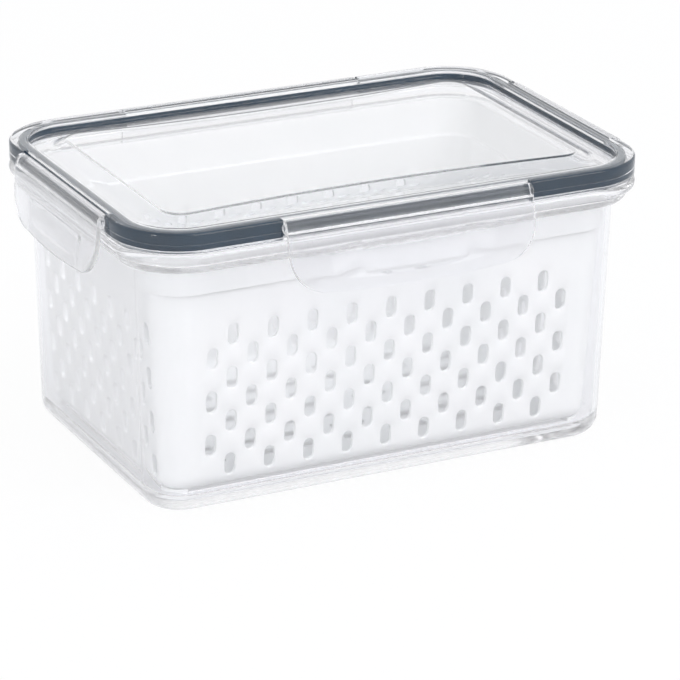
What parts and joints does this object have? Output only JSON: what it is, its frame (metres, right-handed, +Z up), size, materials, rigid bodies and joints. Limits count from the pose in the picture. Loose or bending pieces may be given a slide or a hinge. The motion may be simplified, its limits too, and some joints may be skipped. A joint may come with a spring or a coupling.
{
  "type": "produce keeper",
  "caption": "Rectangular clear food box with a slotted white drainer basket inside and a sealed clear lid held on by hinged snap flaps on every side.",
  "frame": {"origin": "middle of the base, on the surface that the box stands on", "axes": "+X along the length to the right, -Y towards the front, +Z up"},
  "size_m": [0.188, 0.1382, 0.0958],
  "materials": {
    "clear_box": "clear moulded, polished",
    "white_basket": "white moulded, soft gloss",
    "clear_lid": "clear moulded, polished",
    "grey_seal": "moulded silicone, slate grey",
    "clear_latch": "clear moulded, polished"
  },
  "bodies": {
    "container": {"container": "clear_box"},
    "basket": {"basket": "white_basket"},
    "lid": {"lid": "clear_lid", "seal_ring": "grey_seal"},
    "front_latch": {"front_latch": "clear_latch"},
    "back_latch": {"back_latch": "clear_latch"},
    "left_latch": {"left_latch": "clear_latch"},
    "right_latch": {"right_latch": "clear_latch"}
  },
  "joints": [
    {"name": "basket_lift", "type": "slide", "parent": "container", "child": "basket", "axis": [0, 0, 1], "range_m": [0, 0.1]},
    {"name": "lid_lift", "type": "slide", "parent": "basket", "child": "lid", "axis": [0, 0, 1], "range_m": [0, 0.08]},
    {"name": "front_latch_hinge", "type": "hinge", "parent": "lid", "child": "front_latch", "pos_m": [0, -0.06085, 0.09305], "axis": [-1, 0, 0], "range_deg": [-14, 110]},
    {"name": "back_latch_hinge", "type": "hinge", "parent": "lid", "child": "back_latch", "pos_m": [0, 0.06085, 0.09305], "axis": [1, 0, 0], "range_deg": [-14, 110]},
    {"name": "left_latch_hinge", "type": "hinge", "parent": "lid", "child": "left_latch", "pos_m": [-0.08965, 0, 0.09305], "axis": [0, 1, 0], "range_deg": [-5.5, 110]},
    {"name": "right_latch_hinge", "type": "hinge", "parent": "lid", "child": "right_latch", "pos_m": [0.08965, 0, 0.09305], "axis": [0, -1, 0], "range_deg": [-5.5, 110]}
  ]
}
